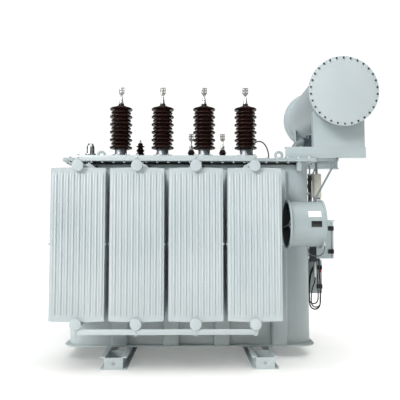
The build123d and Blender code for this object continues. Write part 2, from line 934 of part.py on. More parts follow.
with BuildPart() as gas_relay:
    with BuildSketch(Plane.YZ.offset(relay_start_x)):
        with Locations((0, relay_z)):
            Circle(relay_flange_radius)
    extrude(amount=relay_flange_thick)
    with BuildSketch(Plane.YZ.offset(relay_start_x)):
        with Locations((0, relay_z)):
            Circle(relay_body_radius)
    extrude(amount=relay_length)
    with BuildSketch(Plane.YZ.offset(relay_end_x - relay_flange_thick)):
        with Locations((0, relay_z)):
            Circle(relay_flange_radius)
    extrude(amount=relay_flange_thick)
    with BuildSketch(Plane.XY.offset(relay_z)):
        with Locations(((relay_start_x + relay_end_x) / 2, 0)):
            Circle(relay_head_radius)
    extrude(amount=relay_body_radius + relay_head_height)
keep(gas_relay.part, "gas_relay")

breather_low = breather_top_z - breather_height
with BuildPart() as main_breather:
    with BuildSketch(Plane.XY.offset(breather_low)):
        with Locations((breather_x, breather_y)):
            Circle(breather_radius)
    extrude(amount=breather_height)
keep(main_breather.part, "main_breather")

with BuildPart() as breather_cup:
    cup_low = breather_low - breather_cup_height
    turned(
        breather_x,
        breather_y,
        [
            (0, breather_low),
            (breather_cup_radius, breather_low),
            (breather_cup_radius, cup_low),
            (breather_tip_radius, cup_low - breather_cone_height),
            (0, cup_low - breather_cone_height),
        ],
    )
keep(breather_cup.part, "breather_cup")

glass_low = glass_top_z - glass_height
with BuildPart() as glass_breather:
    with BuildSketch(Plane.XY.offset(glass_low)):
        with Locations((glass_x, breather_y)):
            Circle(glass_radius)
    extrude(amount=glass_height)
keep(glass_breather.part, "glass_breather")

with BuildPart() as glass_breather_caps:
    with BuildSketch(Plane.XY.offset(glass_top_z)):
        with Locations((glass_x, breather_y)):
            Circle(glass_cap_radius)
    extrude(amount=glass_cap_height)
    with BuildSketch(Plane.XY.offset(glass_low)):
        with Locations((glass_x, breather_y)):
            Circle(glass_cap_radius)
    extrude(amount=-glass_cap_height)
    with BuildSketch(Plane.XY.offset(glass_top_z + glass_cap_height)):
        with Locations((glass_x, breather_y)):
            Circle(glass_pipe_radius)
    extrude(amount=wall_top - glass_top_z - glass_cap_height)
keep(glass_breather_caps.part, "glass_breather_caps")

fan_axis = Axis((0, fan_y, fan_z), (1, 0, 0))
fan_right_x = fan_left_x + fan_length


def fan_plane(x):
    return Plane((x, fan_y, fan_z), x_dir=(0, 1, 0), z_dir=(1, 0, 0))


with BuildPart() as fan_casing:
    with BuildSketch(fan_plane(fan_left_x)):
        Circle(fan_radius)
    extrude(amount=fan_length)
    with BuildSketch(fan_plane(fan_left_x)):
        Circle(fan_lip_radius)
    extrude(amount=fan_lip_width)
    with BuildSketch(fan_plane(fan_right_x)):
        Circle(fan_lip_radius)
    extrude(amount=-fan_lip_width)
    with BuildSketch(fan_plane(fan_left_x - overrun)):
        Circle(fan_radius - fan_sheet)
    extrude(amount=fan_length + 2 * overrun, mode=Mode.SUBTRACT)
keep(fan_casing.part, "fan_casing")

rotor_x = fan_left_x + rotor_setback
motor_x = rotor_x + hub_length + motor_gap
bore_depth = hub_length - shaft_end_gap
with BuildPart() as fan_motor:
    with BuildSketch(fan_plane(motor_x)):
        Circle(motor_radius)
    extrude(amount=motor_length)
    with BuildSketch(fan_plane(motor_x)):
        Circle(shaft_radius)
    extrude(amount=shaft_end_gap - motor_gap - bore_depth)
    with BuildSketch(fan_plane(motor_x + motor_length / 2)):
        with PolarLocations((motor_radius + fan_radius - fan_sheet) / 2, strut_count, start_angle=90):
            Rectangle(fan_radius - fan_sheet - motor_radius + 2 * overrun, strut_width)
    extrude(amount=strut_thick)
    with BuildSketch(fan_plane(motor_x)):
        Circle(fan_radius)
        Circle(fan_radius - fan_sheet, mode=Mode.SUBTRACT)
    extrude(amount=motor_length, mode=Mode.SUBTRACT)
keep(fan_motor.part, "fan_motor")

with BuildPart() as fan_rotor:
    with BuildSketch(fan_plane(rotor_x)):
        Circle(hub_radius)
    extrude(amount=hub_length)
    blade_tip = fan_radius - fan_sheet - blade_tip_gap
    for count in range(blade_count):
        angle = 360 * count / blade_count
        out_way = Vector(0, cos(radians(angle)), sin(radians(angle)))
        along = Vector(sin(radians(blade_pitch_angle)), 0, 0)
        across = Vector(1, 0, 0).cross(out_way) * cos(radians(blade_pitch_angle))
        root = Vector(rotor_x + hub_length / 2, fan_y, fan_z) + out_way * (hub_radius - blade_sink)
        with BuildSketch(Plane(root, x_dir=along + across, z_dir=out_way)):
            Rectangle(blade_chord, blade_thick)
        extrude(amount=blade_tip - hub_radius + blade_sink)
    with BuildSketch(fan_plane(rotor_x + hub_length)):
        Circle(shaft_radius + hub_bore_clearance)
    extrude(amount=-bore_depth, mode=Mode.SUBTRACT)
keep(fan_rotor.part, "fan_rotor")

with BuildPart() as fan_brackets:
    for x in (fan_bracket_x, fan_bracket_x + fan_bracket_span):
        with BuildSketch(Plane.YZ.offset(x)):
            with Locations(((fan_y - tank_face) / 2, fan_z)):
                Rectangle(-tank_face - fan_y, fan_bracket_height)
            with Locations((fan_y, fan_z)):
                Circle(fan_radius + seat_gap, mode=Mode.SUBTRACT)
        extrude(amount=fan_bracket_thick)
keep(fan_brackets.part, "fan_brackets")


def housing(front_y, back_x, depth, width, low, height, roof_thick, roof_overhang):
    # sheet box, open towards the door, with a rain roof
    face_x = back_x + depth
    with BuildPart() as box:
        with BuildSketch(Plane.YZ.offset(back_x)):
            with Locations((front_y + width / 2, low + height / 2)):
                Rectangle(width, height)
        extrude(amount=depth)
        with BuildSketch(Plane.YZ.offset(back_x + cabinet_sheet)):
            with Locations((front_y + width / 2, low + height / 2)):
                Rectangle(width - 2 * cabinet_sheet, height - 2 * cabinet_sheet)
        extrude(amount=depth, mode=Mode.SUBTRACT)
        with BuildSketch(Plane.XZ.offset(-front_y)):
            with BuildLine():
                Polyline(
                    (back_x, low + height),
                    (back_x, low + height + roof_thick),
                    (face_x + roof_overhang, low + height + roof_thick / 2),
                    (face_x + roof_overhang, low + height),
                    close=True,
                )
            make_face()
        extrude(amount=-width)
    return box.part


def door(front_y, back_x, depth, width, low, height):
    # door leaf with its latch, hung in front of the open side
    inner_x = back_x + depth + door_gap
    with BuildPart() as leaf:
        with BuildSketch(Plane.YZ.offset(inner_x)):
            with Locations((front_y + width / 2, low + height / 2 - door_drop / 2)):
                Rectangle(width, height - door_drop)
        extrude(amount=door_thick)
        with BuildSketch(Plane.YZ.offset(inner_x + door_thick)):
            with Locations((front_y + width - latch_margin, low + height / 2)):
                Circle(latch_radius)
        extrude(amount=latch_height)
    return leaf.part


def hinge_levels(low, height):
    return (low + hinge_end_margin, low + height - hinge_end_margin)


def fixed_hinges(front_y, back_x, depth, low, height):
    # leaf on the housing's side, lower knuckle and the pin
    face_x = back_x + depth
    pin_x = face_x + door_gap + door_thick / 2
    pin_y = front_y - hinge_offset
    with BuildPart() as hinges:
        for level in hinge_levels(low, height):
            with BuildSketch(Plane.XY.offset(level - hinge_half_height)):
                with BuildLine():
                    Polyline(
                        (face_x - hinge_leaf_width, front_y),
                        (face_x - hinge_leaf_width, front_y - hinge_leaf_thick),
                        (face_x - hinge_leaf_thick, front_y - hinge_leaf_thick),
                        (pin_x, pin_y - hinge_knuckle_radius + hinge_leaf_thick),
                        (pin_x, pin_y + hinge_leaf_thick),
                        (face_x, front_y),
                        close=True,
                    )
                make_face()
                with Locations((pin_x, pin_y)):
                    Circle(hinge_knuckle_radius)
            extrude(amount=hinge_half_height - hinge_split)
            with BuildSketch(Plane.XY.offset(level - hinge_half_height)):
                with Locations((face_x - hinge_leaf_width / 2, front_y - hinge_leaf_thick / 2)):
                    Rectangle(hinge_leaf_width, hinge_leaf_thick)
                with Locations((pin_x, pin_y)):
                    Circle(hinge_pin_radius)
            extrude(amount=2 * hinge_half_height)
    return hinges.part


def moving_hinges(front_y, back_x, depth, low, height):
    # leaf on the door's edge and the upper knuckle round the pin
    inner_x = back_x + depth + door_gap
    pin_x = inner_x + door_thick / 2
    pin_y = front_y - hinge_offset
    with BuildPart() as hinges:
        for level in hinge_levels(low, height):
            with BuildSketch(Plane.XY.offset(level)):
                with Locations((pin_x, (front_y + pin_y) / 2)):
                    Rectangle(2 * hinge_knuckle_radius, hinge_offset)
                with Locations((pin_x, pin_y)):
                    Circle(hinge_knuckle_radius)
                    Circle(hinge_pin_radius + hinge_pin_clearance, mode=Mode.SUBTRACT)
            extrude(amount=hinge_half_height)
    return hinges.part


cabinet_box = (cabinet_front_y, cabinet_back_x, cabinet_depth, cabinet_width, cabinet_low_z, cabinet_height)
drive_box = (drive_front_y, drive_back_x, drive_depth, drive_width, drive_low_z, drive_height)
cabinet_post = (cabinet_front_y, cabinet_back_x, cabinet_depth, cabinet_low_z, cabinet_height)
drive_post = (drive_front_y, drive_back_x, drive_depth, drive_low_z, drive_height)

keep(housing(*cabinet_box, cabinet_roof_thick, cabinet_roof_overhang), "control_cabinet")
keep(door(*cabinet_box), "cabinet_door")
keep(fixed_hinges(*cabinet_post), "cabinet_hinges")
keep(moving_hinges(*cabinet_post), "cabinet_door_hinges")
keep(housing(*drive_box, drive_roof_thick, drive_roof_overhang), "drive_box")
keep(door(*drive_box), "drive_door")
keep(fixed_hinges(*drive_post), "drive_hinges")
keep(moving_hinges(*drive_post), "drive_door_hinges")

with BuildPart() as wall_brackets:
    # rails that hold the two housings off the end wall, and the breathers' arms
    for front_y, back_x, width, low, height in (
        (cabinet_front_y, cabinet_back_x, cabinet_width, cabinet_low_z, cabinet_height),
        (drive_front_y, drive_back_x, drive_width, drive_low_z, drive_height),
    ):
        with BuildSketch(Plane.YZ.offset(tank_end)):
            with Locations((front_y + width / 2, low + height / 2)):
                with GridLocations(width / 2, height / 2, 2, 2):
                    Rectangle(rail_width, rail_height)
        extrude(amount=back_x - tank_end)
    arm_shift = glass_cap_radius + breather_arm_gap + breather_arm_width / 2
    for x, radius, shift, middle in (
        (breather_x, breather_radius, arm_shift, breather_top_z - breather_height / 4),
        (glass_x, glass_radius, 0, glass_top_z - 3 * glass_height / 4),
    ):
        with BuildSketch(Plane.XY.offset(middle)):
            with Locations(((tank_end + x) / 2, breather_y + shift)):
                Rectangle(x - tank_end, breather_arm_width)
            with Locations((x, breather_y)):
                Circle(radius + seat_gap, mode=Mode.SUBTRACT)
        extrude(amount=breather_arm_height)
keep(wall_brackets.part, "wall_brackets")


def cable(route, first_z, last_z, diameter, name):
    # one round cable from its first height to its last, with each arc as large as its runs allow
    points = [Vector(*place) for place in route]
    points[0] = Vector(*route[0], first_z)
    points[-1] = Vector(*route[-1], last_z)
    runs = [after - before for before, after in zip(points, points[1:])]
    radii = []
    for before, after in zip(runs, runs[1:]):
        half_turn = radians(before.get_angle(after)) / 2
        radii.append(arc_run_share * min(before.length, after.length) / tan(half_turn))
    with BuildPart() as tube:
        with BuildLine() as path:
            FilletPolyline(*points, radius=radii)
        with BuildSketch(Plane(path.line @ 0, z_dir=path.line % 0)) as section:
            Circle(diameter / 2)
        sweep(section.sketch, path=path.line)
    length = sum(edge.length for edge in path.edges())
    fill = tube.part.volume / (section.sketch.area * length)
    print(name, "length", round(length), "fill", round(fill, 3))
    print("radii", [round(radius) for radius in radii])
    keep(tube.part, name)


gland_low = cabinet_low_z - gland_height
plug_low = gland_low - plug_length
plug_tip = plug_low - plug_nose_length
cable(loop_1_route, gland_low - seat_gap, gland_low - seat_gap, loop_diameter, "loop_cable_1")
cable(loop_2_route, gland_low - seat_gap, gland_low - seat_gap, thin_loop_diameter, "loop_cable_2")
cable(plug_loop_route, gland_low - seat_gap, plug_tip - seat_gap, thin_loop_diameter, "loop_cable_3")

conduit_start_z = fan_z - fan_radius - conduit_gland_height
conduit_end_z = fan_z - conduit_end_drop
cable(conduit_route, conduit_start_z - seat_gap, conduit_end_z - seat_gap, conduit_diameter, "fan_conduit")
lead_end_z = cover_top + lead_gland_height
cable(lead_route, lead_end_z + seat_gap, lead_end_z + seat_gap, lead_diameter, "cover_lead")

with BuildPart() as cable_glands:
    # sockets cut to the round of the fan's casing and of its lip
    for end, low, round_radius in (
        (conduit_route[0], conduit_start_z, fan_radius),
        (conduit_route[-1], conduit_end_z, fan_lip_radius),
    ):
        with BuildSketch(Plane.XY.offset(low)):
            with Locations(end):
                Circle(conduit_gland_radius)
        extrude(amount=2 * conduit_gland_height + conduit_gland_radius)
        with BuildSketch(fan_plane(end[0] - 2 * conduit_gland_radius)):
            Circle(round_radius + seat_gap)
        extrude(amount=4 * conduit_gland_radius, mode=Mode.SUBTRACT)
    # glands under the cabinet, and on the cover
    for route in (loop_1_route, loop_2_route, plug_loop_route):
        with BuildSketch(Plane.XY.offset(gland_low)):
            with Locations(route[0], route[-1]):
                Circle(gland_radius)
        extrude(amount=gland_height - seat_gap)
    with BuildSketch(Plane.XY.offset(cover_top + seat_gap)):
        with Locations(lead_route[0], lead_route[-1]):
            Circle(gland_radius)
    extrude(amount=lead_gland_height - seat_gap)
    # plug that the third loop comes out of
    turned(
        *plug_loop_route[-1],
        [
            (0, plug_tip),
            (plug_nose_radius, plug_tip),
            (plug_radius, plug_low),
            (plug_radius, gland_low),
            (0, gland_low),
        ],
    )
keep(cable_glands.part, "cable_glands")
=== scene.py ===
import bpy
from math import cos, pi, radians, sin
from mathutils import Matrix, Vector


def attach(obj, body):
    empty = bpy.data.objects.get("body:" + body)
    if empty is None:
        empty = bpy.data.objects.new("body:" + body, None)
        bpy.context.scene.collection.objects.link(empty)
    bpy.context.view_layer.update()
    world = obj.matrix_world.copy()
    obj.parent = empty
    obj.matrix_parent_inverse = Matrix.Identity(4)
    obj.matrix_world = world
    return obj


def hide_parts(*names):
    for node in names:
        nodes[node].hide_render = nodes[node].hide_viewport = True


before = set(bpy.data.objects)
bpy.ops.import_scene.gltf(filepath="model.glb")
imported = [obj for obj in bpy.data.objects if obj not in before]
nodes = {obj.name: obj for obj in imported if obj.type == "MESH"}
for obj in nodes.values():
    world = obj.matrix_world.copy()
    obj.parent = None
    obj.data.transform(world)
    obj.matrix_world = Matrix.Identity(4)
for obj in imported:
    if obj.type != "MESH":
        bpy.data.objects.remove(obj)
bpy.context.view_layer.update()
print("frame loaded:", len(nodes), "nodes")

# camera: eye level of a person standing in front of the radiators
cameraView = {"place": (0.034, -5.808, 1.334), "tilt": 93.5, "turn": -0.77, "lens": 44.39, "sensor": 36,
              "reach": 200}
bpy.ops.object.camera_add(location=cameraView["place"])
camera = bpy.context.object
camera.rotation_euler = (radians(cameraView["tilt"]), 0, radians(cameraView["turn"]))
camera.data.lens = cameraView["lens"]
camera.data.sensor_width = cameraView["sensor"]
camera.data.clip_end = cameraView["reach"]
bpy.context.scene.camera = camera


def mm(value):
    return value / 1000


def hexColour(text):
    # sRGB hex to linear
    parts = [int(text[place:place + 2], 16) / 255 for place in (0, 2, 4)]
    linear = [part / 12.92 if part <= 0.04045 else ((part + 0.055) / 1.055) ** 2.4 for part in parts]
    return (linear[0], linear[1], linear[2], 1)


def perMetre(sizeMm):
    # a pattern's scale from the size of its patches
    return 1000 / sizeMm


def addNode(material, kind, settings=None, values=None, links=None, stops=()):
    # one node with its settings, fixed values, incoming links and colour stops as (place, hex)
    node = material.node_tree.nodes.new(kind)
    for name, value in (settings or {}).items():
        setattr(node, name, value)
    for name, value in (values or {}).items():
        node.inputs[name].default_value = value
    for name, source in (links or {}).items():
        material.node_tree.links.new(source, node.inputs[name])
    for count, (place, colour) in enumerate(stops):
        node.color_ramp.elements[count].position = place
        node.color_ramp.elements[count].color = hexColour(colour)
    return node


def newMaterial(name):
    material = bpy.data.materials.new(name)
    material.use_nodes = True
    return material, material.node_tree.nodes["Principled BSDF"]


def link(material, source, target):
    material.node_tree.links.new(source, target)


# what all finishes of a kind share, with the dust's height in metres and depths in millimetres
finishLook = {"stops": (0.3, 0.7), "dustTop": 0.9, "gritRough": 0.7, "peelDepth": 1, "grainDepth": 0.3,
              "mouldDepth": 0.5, "ior": 1.5, "coatRough": 0.05, "specular": 0.5, "enamelGloss": (-0.05, 0.08),
              "metalGloss": (-0.06, 0.1), "mouldGloss": (-0.03, 0.05)}


def tones(look):
    # colour stops from the shade to the full tone
    return list(zip(finishLook["stops"], (look["shade"], look["colour"])))


def glossRange(look, kind):
    # roughness from a little under the finish's own to a little over it
    lower, higher = finishLook[kind]
    return {"To Min": look["rough"] + lower, "To Max": look["rough"] + higher}


def enamel(name, look):
    # satin enamel sprayed on steel: nearly even colour, a faint orange peel, dust low down and in patches
    material, shader = newMaterial(name)
    place = addNode(material, "ShaderNodeTexCoord").outputs["Object"]
    patch = addNode(material, "ShaderNodeTexNoise", {}, {"Scale": perMetre(look["patchMm"]), "Detail": 4},
                    {"Vector": place})
    tone = addNode(material, "ShaderNodeValToRGB", {}, {}, {"Fac": patch.outputs["Fac"]}, tones(look))
    split = addNode(material, "ShaderNodeSeparateXYZ", {}, {}, {"Vector": place})
    low = addNode(material, "ShaderNodeMapRange", {},
                  {"From Min": finishLook["dustTop"], "From Max": 0.0, "To Max": look["dust"]},
                  {"Value": split.outputs["Z"]})
    grit = addNode(material, "ShaderNodeTexNoise", {},
                   {"Scale": perMetre(look["gritMm"]), "Detail": 6, "Roughness": finishLook["gritRough"]},
                   {"Vector": place})
    dusty = addNode(material, "ShaderNodeMath", {"operation": "MULTIPLY"}, {},
                    {0: low.outputs["Result"], 1: grit.outputs["Fac"]})
    colour = addNode(material, "ShaderNodeMix", {"data_type": "RGBA"}, {"B": hexColour(look["dustColour"])},
                     {"Factor": dusty.outputs["Value"], "A": tone.outputs["Color"]})
    gloss = addNode(material, "ShaderNodeMapRange", {}, glossRange(look, "enamelGloss"),
                    {"Value": grit.outputs["Fac"]})
    peel = addNode(material, "ShaderNodeTexNoise", {}, {"Scale": perMetre(look["peelMm"]), "Detail": 2},
                   {"Vector": place})
    bump = addNode(material, "ShaderNodeBump", {},
                   {"Strength": look["peel"], "Distance": mm(finishLook["peelDepth"])},
                   {"Height": peel.outputs["Fac"]})
    link(material, colour.outputs["Result"], shader.inputs["Base Color"])
    link(material, gloss.outputs["Result"], shader.inputs["Roughness"])
    link(material, bump.outputs["Normal"], shader.inputs["Normal"])
    shader.inputs["IOR"].default_value = finishLook["ior"]
    return material


def metal(name, look):
    # bare or plated metal: grain drawn out along one axis, gloss that wanders a little
    material, shader = newMaterial(name)
    place = addNode(material, "ShaderNodeTexCoord").outputs["Object"]
    stretch = addNode(material, "ShaderNodeMapping", {}, {"Scale": look["stretch"]}, {"Vector": place})
    grain = addNode(material, "ShaderNodeTexNoise", {}, {"Scale": perMetre(look["grainMm"]), "Detail": 4},
                    {"Vector": stretch.outputs["Vector"]})
    tone = addNode(material, "ShaderNodeValToRGB", {}, {}, {"Fac": grain.outputs["Fac"]}, tones(look))
    gloss = addNode(material, "ShaderNodeMapRange", {}, glossRange(look, "metalGloss"),
                    {"Value": grain.outputs["Fac"]})
    bump = addNode(material, "ShaderNodeBump", {},
                   {"Strength": look["bump"], "Distance": mm(finishLook["grainDepth"])},
                   {"Height": grain.outputs["Fac"]})
    link(material, tone.outputs["Color"], shader.inputs["Base Color"])
    link(material, gloss.outputs["Result"], shader.inputs["Roughness"])
    link(material, bump.outputs["Normal"], shader.inputs["Normal"])
    shader.inputs["Metallic"].default_value = 1
    return material


def moulded(name, look):
    # moulded or glazed surface: even colour with faint clouding and a fine grain
    material, shader = newMaterial(name)
    place = addNode(material, "ShaderNodeTexCoord").outputs["Object"]
    cloud = addNode(material, "ShaderNodeTexNoise", {}, {"Scale": perMetre(look["cloudMm"]), "Detail": 3},
                    {"Vector": place})
    tone = addNode(material, "ShaderNodeValToRGB", {}, {}, {"Fac": cloud.outputs["Fac"]}, tones(look))
    gloss = addNode(material, "ShaderNodeMapRange", {}, glossRange(look, "mouldGloss"),
                    {"Value": cloud.outputs["Fac"]})
    grain = addNode(material, "ShaderNodeTexNoise", {}, {"Scale": perMetre(look["grainMm"]), "Detail": 2},
                    {"Vector": place})
    bump = addNode(material, "ShaderNodeBump", {},
                   {"Strength": look["bump"], "Distance": mm(finishLook["mouldDepth"])},
                   {"Height": grain.outputs["Fac"]})
    link(material, tone.outputs["Color"], shader.inputs["Base Color"])
    link(material, gloss.outputs["Result"], shader.inputs["Roughness"])
    link(material, bump.outputs["Normal"], shader.inputs["Normal"])
    shader.inputs["IOR"].default_value = finishLook["ior"]
    shader.inputs["Coat Weight"].default_value = look["coat"]
    shader.inputs["Coat Roughness"].default_value = finishLook["coatRough"]
    shader.inputs["Specular IOR Level"].default_value = look.get("specular", finishLook["specular"])
    return material


# peel and grit are drawn coarser than life, or they would not show at this distance
# sprayed enamel on the tank and cabinets: cool light grey with a satin sheen, dustier towards the ground
greyEnamel = enamel("greyEnamel", {
    "colour": "aeb9bb", "shade": "a6b2b5", "patchMm": 420, "dust": 0.35, "dustColour": "a39f93",
    "gritMm": 60, "rough": 0.36, "peelMm": 14, "peel": 0.05})
# enamel on the radiators and caps: a touch lighter and more even
panelEnamel = enamel("panelEnamel", {
    "colour": "b4bdbf", "shade": "acb6b9", "patchMm": 600, "dust": 0.2, "dustColour": "a8a59a",
    "gritMm": 70, "rough": 0.34, "peelMm": 14, "peel": 0.04})
# enamel on the fan's ring: the grey enamel darkened to a mid grey as painted shade, so that the ring stands
# off the radiators
fanPaintedShadeEnamel = enamel("fanPaintedShadeEnamel", {
    "colour": "9ba6a8", "shade": "939fa1", "patchMm": 600, "dust": 0.2, "dustColour": "a8a59a",
    "gritMm": 70, "rough": 0.34, "peelMm": 14, "peel": 0.04})
# off-white enamel on the main breather: warm, clean and softly glossy
creamEnamel = enamel("creamEnamel", {
    "colour": "d2d2c6", "shade": "cac9bb", "patchMm": 160, "dust": 0.0, "dustColour": "a8a59a",
    "gritMm": 40, "rough": 0.3, "peelMm": 10, "peel": 0.04})
# deep blue-grey enamel on the fan's motor and rotor, and the same dark colour as painted shade on the gas
# relay and inside the fan ring: nearly black in the shade
darkEnamel = enamel("darkEnamelAndPaintedShade", {
    "colour": "39464a", "shade": "2c383c", "patchMm": 180, "dust": 0.1, "dustColour": "777266",
    "gritMm": 40, "rough": 0.4, "peelMm": 10, "peel": 0.05})
# grey enamel on pipes and braces, darkened as painted shade: a duller and darker grey
shadeEnamel = enamel("paintedShadeGreyEnamel", {
    "colour": "7d898b", "shade": "707c7f", "patchMm": 180, "dust": 0.1, "dustColour": "777266",
    "gritMm": 40, "rough": 0.4, "peelMm": 10, "peel": 0.05})
# red enamel on a small tag: deep and softly glossy
redEnamel = enamel("redEnamel", {
    "colour": "a8202a", "shade": "8d1620", "patchMm": 60, "dust": 0.0, "dustColour": "777266",
    "gritMm": 20, "rough": 0.35, "peelMm": 8, "peel": 0.04})
# turned steel: bright, with fine lines round the piece
brightSteel = metal("machinedSteel", {
    "colour": "c9ccce", "shade": "a6abae", "stretch": (1, 1, 9), "grainMm": 26, "rough": 0.2, "bump": 0.05})
# cast aluminium alloy: mid grey, half matt and a little mottled
castAlloy = metal("castAlloy", {
    "colour": "9da2a6", "shade": "7d8388", "stretch": (1, 1, 3), "grainMm": 30, "rough": 0.48, "bump": 0.06})
# tinned copper: pale soft silver with faint upright streaks
tinnedCopper = metal("tinnedCopper", {
    "colour": "dddeda", "shade": "c4c6c2", "stretch": (5, 5, 1), "grainMm": 18, "rough": 0.28, "bump": 0.08})
# zinc plated steel: pale silver with a fine mottle
zincPlate = metal("zincPlatedSteel", {
    "colour": "d3d6d5", "shade": "aeb4b5", "stretch": (1, 1, 1), "grainMm": 9, "rough": 0.38, "bump": 0.1})
# blackened steel: dark and half matt, so that the bolts read as a row of dots
darkBolt = metal("blackenedSteel", {
    "colour": "4a5052", "shade": "2f3436", "stretch": (1, 1, 1), "grainMm": 9, "rough": 0.45, "bump": 0.1})
# galvanised steel: dull mid grey with a fine mottle
greyConduit = metal("galvanisedConduit", {
    "colour": "83898b", "shade": "6c7274", "stretch": (1, 1, 1), "grainMm": 9, "rough": 0.45, "bump": 0.1})
# fired glaze on porcelain: very dark brown with a soft, weak sheen
brownGlaze = moulded("brownGlazedPorcelain", {
    "colour": "2a1611", "shade": "1b0d0a", "cloudMm": 70, "grainMm": 22, "rough": 0.3, "bump": 0.02,
    "coat": 0.0, "specular": 0.12})
# moulded nylon: black with a faint grain and a broad sheen
blackNylon = moulded("blackNylon", {
    "colour": "1b1c1d", "shade": "121314", "cloudMm": 40, "grainMm": 5, "rough": 0.42, "bump": 0.15,
    "coat": 0})
# smoked glass, full of dark grains: nearly black, with sharp reflections
smokedGlass = moulded("smokedGlass", {
    "colour": "1d2425", "shade": "141a1b", "cloudMm": 60, "grainMm": 16, "rough": 0.06, "bump": 0.01,
    "coat": 1})
# lacquered sheet: clean white, half gloss
whitePlate = moulded("whitePlate", {
    "colour": "eeeeea", "shade": "e2e2dd", "cloudMm": 50, "grainMm": 12, "rough": 0.35, "bump": 0.02,
    "coat": 0.2})
# black anodised sheet: even and half gloss
blackPlate = moulded("anodisedBlackPlate", {
    "colour": "17191a", "shade": "101213", "cloudMm": 50, "grainMm": 12, "rough": 0.3, "bump": 0.02,
    "coat": 0.2})
# moulded rubber on the cable sleeve, and the same black as painted shade in the strips under the rim: dull
# black, almost without highlights
blackRubberAndPaintedShade = moulded("blackRubberAndPaintedShade", {
    "colour": "1c2123", "shade": "14191b", "cloudMm": 60, "grainMm": 8, "rough": 0.6, "bump": 0.08,
    "coat": 0})
# extruded cable sheath: black with a weak sheen
blackSheath = moulded("blackCableSheath", {
    "colour": "17181a", "shade": "0f1011", "cloudMm": 50, "grainMm": 6, "rough": 0.5, "bump": 0.1,
    "coat": 0})
print("materials made")


def clearPick():
    if bpy.context.mode != "OBJECT":
        bpy.ops.object.mode_set(mode="OBJECT")
    bpy.ops.object.select_all(action="DESELECT")


def only(piece):
    clearPick()
    piece.select_set(True)
    bpy.context.view_layer.objects.active = piece


def settle(piece, name, material, body="transformer"):
    # place into the mesh, then finish, slot and body
    only(piece)
    bpy.ops.object.transform_apply(location=True, rotation=True, scale=True)
    piece.name = name
    piece.data.name = name
    piece.data.materials.clear()
    piece.data.materials.append(material)
    for face in piece.data.polygons:
        face.material_index = 0
    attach(piece, body)
    return piece


# angles in degrees, the merge distance in millimetres
edgeLook = {"corner": 32, "round": 40, "turned": 60, "flat": 0.4, "merge": 0.02, "spinMerge": 0.05}


def applyBevel(piece, width, segments=2):
    only(piece)
    edge = piece.modifiers.new("edge", "BEVEL")
    edge.width = mm(width)
    edge.segments = segments
    edge.limit_method = "ANGLE"
    edge.angle_limit = radians(edgeLook["corner"])
    bpy.ops.object.modifier_apply(modifier="edge")


def smooth(piece, angle=edgeLook["corner"]):
    only(piece)
    bpy.ops.object.shade_smooth_by_angle(angle=radians(angle))


def copyOf(piece):
    twin = piece.copy()
    twin.data = piece.data.copy()
    bpy.context.collection.objects.link(twin)
    return twin


def joined(pieces):
    only(pieces[0])
    for piece in pieces:
        piece.select_set(True)
    bpy.ops.object.join()
    return bpy.context.object


def placedCopies(piece, offsets):
    # one mesh with a copy at each offset, the model itself used up
    twins = []
    for offset in offsets:
        twin = copyOf(piece)
        twin.data.transform(Matrix.Translation(Vector(offset)))
        twins.append(twin)
    bpy.data.objects.remove(piece)
    return joined(twins)


def turnedPiece(name, outline, steps):
    # half section (radius, height) in millimetres, drawn point by point and spun round Z
    clearPick()
    bpy.ops.mesh.primitive_plane_add(size=mm(1), location=(0, 0, 0))
    piece = bpy.context.object
    piece.name = name
    bpy.ops.object.mode_set(mode="EDIT")
    bpy.ops.mesh.select_all(action="SELECT")
    bpy.ops.mesh.merge(type="CENTER")
    bpy.ops.transform.translate(value=(mm(outline[0][0]), 0, mm(outline[0][1])))
    for before, after in zip(outline, outline[1:]):
        step = (mm(after[0] - before[0]), 0, mm(after[1] - before[1]))
        bpy.ops.mesh.extrude_region_move(TRANSFORM_OT_translate={"value": step})
    bpy.ops.mesh.select_all(action="SELECT")
    bpy.ops.mesh.spin(steps=steps, angle=2 * pi, center=(0, 0, 0), axis=(0, 0, 1))
    bpy.ops.mesh.select_all(action="SELECT")
    bpy.ops.mesh.remove_doubles(threshold=mm(edgeLook["spinMerge"]))
    bpy.ops.mesh.normals_make_consistent(inside=False)
    bpy.ops.object.mode_set(mode="OBJECT")
    return piece


def dressed(node, material, bevel, body="transformer"):
    # a merged copy of a node, its coplanar facets joined and its edges broken
    clearPick()
    piece = bpy.data.objects.new(node + "_dressed", nodes[node].data.copy())
    bpy.context.collection.objects.link(piece)
    only(piece)
    bpy.ops.object.mode_set(mode="EDIT")
    bpy.ops.mesh.select_all(action="SELECT")
    bpy.ops.mesh.remove_doubles(threshold=mm(edgeLook["merge"]))
    bpy.ops.mesh.dissolve_limited(angle_limit=radians(edgeLook["flat"]))
    bpy.ops.object.mode_set(mode="OBJECT")
    if bevel:
        applyBevel(piece, bevel)
    smooth(piece)
    settle(piece, node + "_dressed", material, body)
    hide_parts(node)
    return piece


# stage: pale floor, white backdrop and soft suns
stageLook = {"floor": "fcfcfa", "floorShade": "f9f9f7", "floorSize": 80, "floorGrain": 3, "floorRough": 0.8,
             "sky": "ffffff", "world": 0.25, "backdrop": 1.0, "reach": 38}
clearPick()
bpy.ops.mesh.primitive_plane_add(size=stageLook["floorSize"], location=(0, 0, 0))
floor = bpy.context.object
floor.name = "floor"
floorPaper, floorShader = newMaterial("paleFloor")
floorPlace = addNode(floorPaper, "ShaderNodeTexCoord")
floorGrain = addNode(floorPaper, "ShaderNodeTexNoise", {}, {"Scale": stageLook["floorGrain"]},
                     {"Vector": floorPlace.outputs["Object"]})
floorTone = addNode(floorPaper, "ShaderNodeValToRGB", {}, {}, {"Fac": floorGrain.outputs["Fac"]},
                    tones({"shade": stageLook["floorShade"], "colour": stageLook["floor"]}))
link(floorPaper, floorTone.outputs["Color"], floorShader.inputs["Base Color"])
